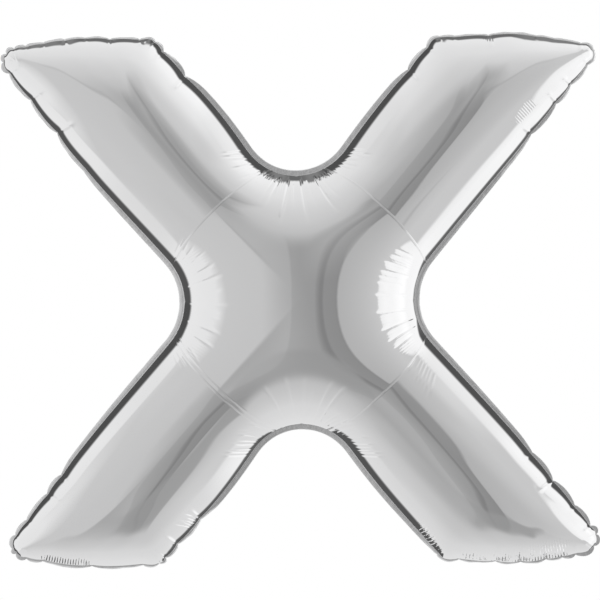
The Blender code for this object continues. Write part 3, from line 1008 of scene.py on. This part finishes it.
def make_film_material(name, pleats):
    """Mirror-bright foil with these pleats, the line of the creases and a faint orange peel."""
    material, shader, s = principled(name, (FILM_COLOUR, FILM_COLOUR, FILM_COLOUR * 1.005))
    shader.inputs["Metallic"].default_value = 1.0
    place = s.node("ShaderNodeTexCoord").outputs["Object"]
    s.feed(shader.inputs["Roughness"], s.ramp(s.noise(place, 9.0), 0.3, 0.7, *FILM_ROUGHNESS))
    orange_peel = s.times(s.noise(place, 90.0), ORANGE_PEEL)
    height = s.plus(pleat_height(s, pleats), orange_peel)
    s.bump(shader, s.plus(height, crease_line(s, place)))
    return material


def make_margin_material():
    """Foil pressed by the welding bar: faint lines along the edge and crinkles across it."""
    material, shader, s = principled("welded_foil", (0.85, 0.85, 0.855))
    shader.inputs["Metallic"].default_value = 1.0
    place = s.node("ShaderNodeTexCoord").outputs["Object"]
    s.feed(shader.inputs["Roughness"], s.ramp(s.noise(place, 60.0), 0.3, 0.7, *MARGIN_ROUGHNESS))
    _, travel, inset = travel_and_inset(s)
    lines = s.math("SINE", s.times(inset, 2 * math.pi / BAR_SPACING))
    crinkles = s.noise(place, 420.0, 3.0)
    broad = s.noise(place, 110.0)
    wave = s.math("SINE", s.math("MULTIPLY_ADD", inset, 2 * math.pi / ROLL_WIDTH, ROLL_PHASE))
    rolled = s.times(s.window(travel, *ROLL), wave, ROLL_BUMP)
    height = s.plus(s.times(lines, BAR_LINES), s.times(crinkles, CRINKLES))
    s.bump(shader, s.plus(height, s.math("MULTIPLY_ADD", broad, BROAD_WAVES, rolled)))
    return material


def make_clear_material():
    """Clear film of the valve sleeve, slightly milky where it is creased."""
    material, shader, s = principled("clear_valve_film", (0.90, 0.91, 0.92))
    shader.inputs["Transmission Weight"].default_value = 0.8
    shader.inputs["IOR"].default_value = 1.45
    place = s.node("ShaderNodeTexCoord").outputs["Object"]
    s.feed(shader.inputs["Roughness"], s.ramp(s.noise(place, 150.0), 0.4, 0.7, *SLEEVE_ROUGHNESS))
    s.bump(shader, s.times(s.noise(place, 260.0), SLEEVE_CREASES))
    return material


DEGREES = 180 / math.pi
GAMMA = 2.2
# Brightness of the room by degrees from straight ahead: above, below, to the left and to the right
ABOVE_TONES = ((22, 0.69), (45, 0.78), (80, 0.86), (130, 0.91))
BELOW_TONES = ((28, 0.65), (55, 0.75), (90, 0.83), (130, 0.86))
LEFT_TONES = ((0, 0.66), (20, 0.755), (60, 0.775))
RIGHT_TONES = ((20, 0.68), (60, 0.775))
# Darker border between the walls and what is above them: where it starts, is full, fades and ends
BORDER_SLOPES = (0.60, 0.66, 0.66, 0.72)
BORDER_DEGREES = (14, 22, 55, 70)
BORDER_DEPTH = 0.05
# Brightness of the opening in front, by degrees to the right: its posts and panes
OPENING_TONES = (
    (-22, 0.68), (-4.2, 0.655), (-3.4, 0.605), (7.5, 0.590), (9.0, 0.545), (10.5, 0.505), (11.5, 0.505),
    (12.5, 0.555), (19, 0.545), (21, 0.52),
)
OPENING_EDGE = 20.6
# Table below the opening: degrees to the right and upwards where it starts, is full, fades and ends
TABLE_ACROSS = (-16, 8, 36, 41)
TABLE_UP = (-52, -38, -25, -20)
TABLE_SHARE = 0.8
TABLE_TONE = 0.59
# Dark surroundings behind the letter, by heading round the front-to-back axis, anticlockwise from +X
# as seen from the front: how many degrees from the front they begin, and how bright they are
DARK_BEGINS = (
    (-180, 128), (-150, 126), (-132, 125), (-122, 131), (-112, 190), (-72, 190), (-60, 150), (-48, 138),
    (-34, 138), (-18, 154), (16, 154), (28, 130), (36, 124), (50, 124), (62, 126), (72, 119), (80, 120),
    (86, 132), (95, 132), (101, 120), (108, 119), (118, 124), (132, 124), (148, 124), (160, 127),
    (180, 127),
)
DARK_TONES = (
    (-180, 0.32), (-48, 0.34), (-30, 0.40), (20, 0.42), (30, 0.32), (62, 0.30), (72, 0.48), (80, 0.48),
    (86, 0.40), (95, 0.40), (101, 0.48), (108, 0.48), (118, 0.30), (180, 0.30),
)


def look_around(s):
    """The direction looked in: its parts, and its angles in degrees from ahead, rightward and up."""
    parts = s.node("ShaderNodeSeparateXYZ")
    s.feed(parts.inputs[0], s.node("ShaderNodeTexCoord").outputs["Generated"])
    x, y, z = parts.outputs
    front = s.times(y, -1.0)
    off_axis = s.math("SQRT", s.math("MAXIMUM", s.minus(1.0, s.times(y, y)), 1e-6))
    slope = s.math("DIVIDE", z, off_axis)
    return SimpleNamespace(
        x=x,
        y=y,
        z=z,
        theta=s.math("MULTIPLY", s.math("ARCCOSINE", front), DEGREES),
        azimuth=s.math("MULTIPLY", s.math("ARCTAN2", x, front), DEGREES),
        height=s.math("MULTIPLY", s.math("ARCSINE", z), DEGREES),
        heading=s.math("MULTIPLY", s.math("ARCTAN2", z, x), DEGREES),
        slope=slope,
        rightward=s.ramp(x, -0.15, 0.15, smooth=True),
        beside=s.ramp(s.math("ABSOLUTE", slope), 0.72, 0.58, smooth=True),
    )


def room_tone(s, look):
    """The room's walls, ceiling and floor, with the border above the walls."""
    right_lift = s.times(s.ramp(look.x, 0.0, 0.6, 0.0, 0.07), s.ramp(look.theta, 50.0, 100.0))
    above = s.plus(s.steps(look.theta, ABOVE_TONES), right_lift)
    upward = s.ramp(look.slope, -0.25, 0.45, smooth=True)
    vertical = s.mix(upward, s.steps(look.theta, BELOW_TONES), above)
    walls = s.mix(look.rightward, s.steps(look.theta, LEFT_TONES), s.steps(look.theta, RIGHT_TONES))
    tone = s.mix(look.beside, vertical, walls)
    border = s.times(s.window(look.slope, *BORDER_SLOPES), s.window(look.theta, *BORDER_DEGREES))
    return s.minus(tone, s.times(border, BORDER_DEPTH))


def add_side_panels(s, look, tone):
    """Bright panels far to both sides, the left one with a soft edge."""
    reach = s.math("ABSOLUTE", look.x)
    soft = s.times(s.ramp(look.x, 0.0, -0.2), s.ramp(look.z, -0.3, 0.2, 0.6, 1.0))
    panel = s.ramp(reach, s.mix(soft, 0.855, 0.77), s.mix(soft, 0.875, 0.92))
    panel = s.math("MAXIMUM", panel, s.times(look.beside, s.ramp(look.theta, 84.0, 92.0, smooth=True)))
    right = s.plus(s.ramp(reach, 0.86, 0.94, 0.925, 0.965), s.ramp(look.theta, 85.0, 105.0, 0.0, 0.04))
    left = s.ramp(look.theta, 60.0, 110.0, 0.88, 0.90)
    return s.mix(panel, tone, s.mix(look.rightward, left, right))


def add_opening(s, look, tone):
    """The dark opening in front, taller towards its right, and the table below it."""
    tall = s.ramp(look.azimuth, 2.0, 12.0)
    slanted = s.minus(look.azimuth, s.ramp(look.height, 12.0, 0.0, 0.0, 4.0))
    edge = s.ramp(look.height, 10.0, 26.0, 0.7, 7.0)
    opening = s.times(
        s.ramp(slanted, -22.0, 2.0, smooth=True),
        s.ramp(look.azimuth, s.plus(OPENING_EDGE, edge), s.minus(OPENING_EDGE, edge)),
        s.ramp(look.height, s.mix(tall, 36.0, 60.0), s.mix(tall, 21.0, 30.0), smooth=True),
        s.ramp(look.height, -46.0, -34.0, smooth=True),
    )
    high = s.times(s.ramp(look.height, 6.0, 26.0, 0.0, 0.09), s.ramp(look.azimuth, 0.0, 10.0))
    low = s.times(s.ramp(look.height, 2.0, -14.0, 0.0, 0.035), s.ramp(look.azimuth, 10.0, -6.0))
    panes = s.plus(s.steps(look.azimuth, OPENING_TONES), s.plus(high, low))
    across = s.window(look.azimuth, *TABLE_ACROSS, smooth=True)
    table = s.times(across, s.window(look.height, *TABLE_UP, smooth=True), TABLE_SHARE)
    return s.mix(table, s.mix(opening, tone, panes), TABLE_TONE)


def add_rear(s, look, tone):
    """The dark rear of the room, which the film shows as dark bands beside the margin."""
    past = s.minus(look.theta, s.steps(look.heading, DARK_BEGINS))
    dark = s.times(s.ramp(past, -5.0, 5.0, smooth=True), s.ramp(look.theta, 174.0, 164.0, smooth=True))
    return s.mix(dark, tone, s.steps(look.heading, DARK_TONES))


def make_studio():
    """White surroundings to the camera; to the film, soft panels, a dark opening in front, dark behind."""
    world = bpy.data.worlds.new("studio")
    bpy.context.scene.world = world
    world.use_nodes = True
    tree = world.node_tree
    tree.nodes.clear()
    s = Shader(tree)
    look = look_around(s)
    tone = room_tone(s, look)
    for add in (add_side_panels, add_opening, add_rear):
        tone = add(s, look, tone)
    mirrored = s.math("DIVIDE", s.math("POWER", tone, GAMMA), FILM_COLOUR)
    plain = s.ramp(look.y, 0.2, 0.8, 0.75, 1.0)
    chosen = s.node("ShaderNodeMixShader")
    s.feed(chosen.inputs[0], s.node("ShaderNodeLightPath").outputs["Is Glossy Ray"])
    for place, strength in ((1, plain), (2, mirrored)):
        background = s.node("ShaderNodeBackground")
        background.inputs["Color"].default_value = (1, 1, 1, 1)
        s.feed(background.inputs["Strength"], strength)
        s.feed(chosen.inputs[place], background.outputs[0])
    s.feed(s.node("ShaderNodeOutputWorld").inputs["Surface"], chosen.outputs[0])


def make_floor():
    """A pale round floor, which the film doesn't mirror."""
    turns = 2 * math.pi * np.arange(FLOOR_SIDES) / FLOOR_SIDES
    ring = [(FLOOR_RADIUS * math.cos(turn), FLOOR_RADIUS * math.sin(turn), -FLOOR_DROP) for turn in turns]
    material, shader, _ = principled("pale_floor", (FLOOR_TONE, FLOOR_TONE, FLOOR_TONE))
    shader.inputs["Roughness"].default_value = FLOOR_ROUGHNESS
    floor = mesh_object("floor", ring, [list(range(FLOOR_SIDES))], material, smooth=False)
    floor.visible_glossy = False


def make_camera():
    """A camera straight in front, with the photo's frame."""
    data = bpy.data.cameras.new("camera")
    data.sensor_width = SENSOR_WIDTH
    data.lens = SENSOR_WIDTH * CAMERA_DISTANCE / FRAME_WIDTH
    data.clip_end = CAMERA_REACH
    camera = bpy.data.objects.new("camera", data)
    camera.location = (0.0, -CAMERA_DISTANCE, 0.0)
    camera.rotation_euler = (math.radians(90), 0.0, 0.0)
    bpy.context.scene.collection.objects.link(camera)
    bpy.context.scene.camera = camera
    bpy.context.scene.view_settings.view_transform = "Standard"


def main():
    """Everything, from the studio to the neck."""
    make_studio()
    make_floor()
    make_camera()
    foils = [make_film_material("silver_film_arms", ARM_PLEATS)] * len(ARMS)
    foils.append(make_film_material("silver_film_centre", CENTRE_PLEATS))
    points, cells, panels, rim, crease = lay_net()
    points, cells, depth = divide(points, cells, inflate(points, cells, rim, crease))
    panels = np.repeat(panels, 4)
    travel, inset = OUTLINE.locate(points)
    relief = wrinkle_height(points, travel, inset)
    for name, side in (("front_film", -1), ("back_film", 1)):
        make_film(name, side, points, cells, panels, depth, relief, travel, inset, foils)
    welded = make_margin_material()
    margin = make_margin(welded)
    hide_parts("seam_flange")
    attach(margin, "root")
    make_neck(welded, make_clear_material())


main()
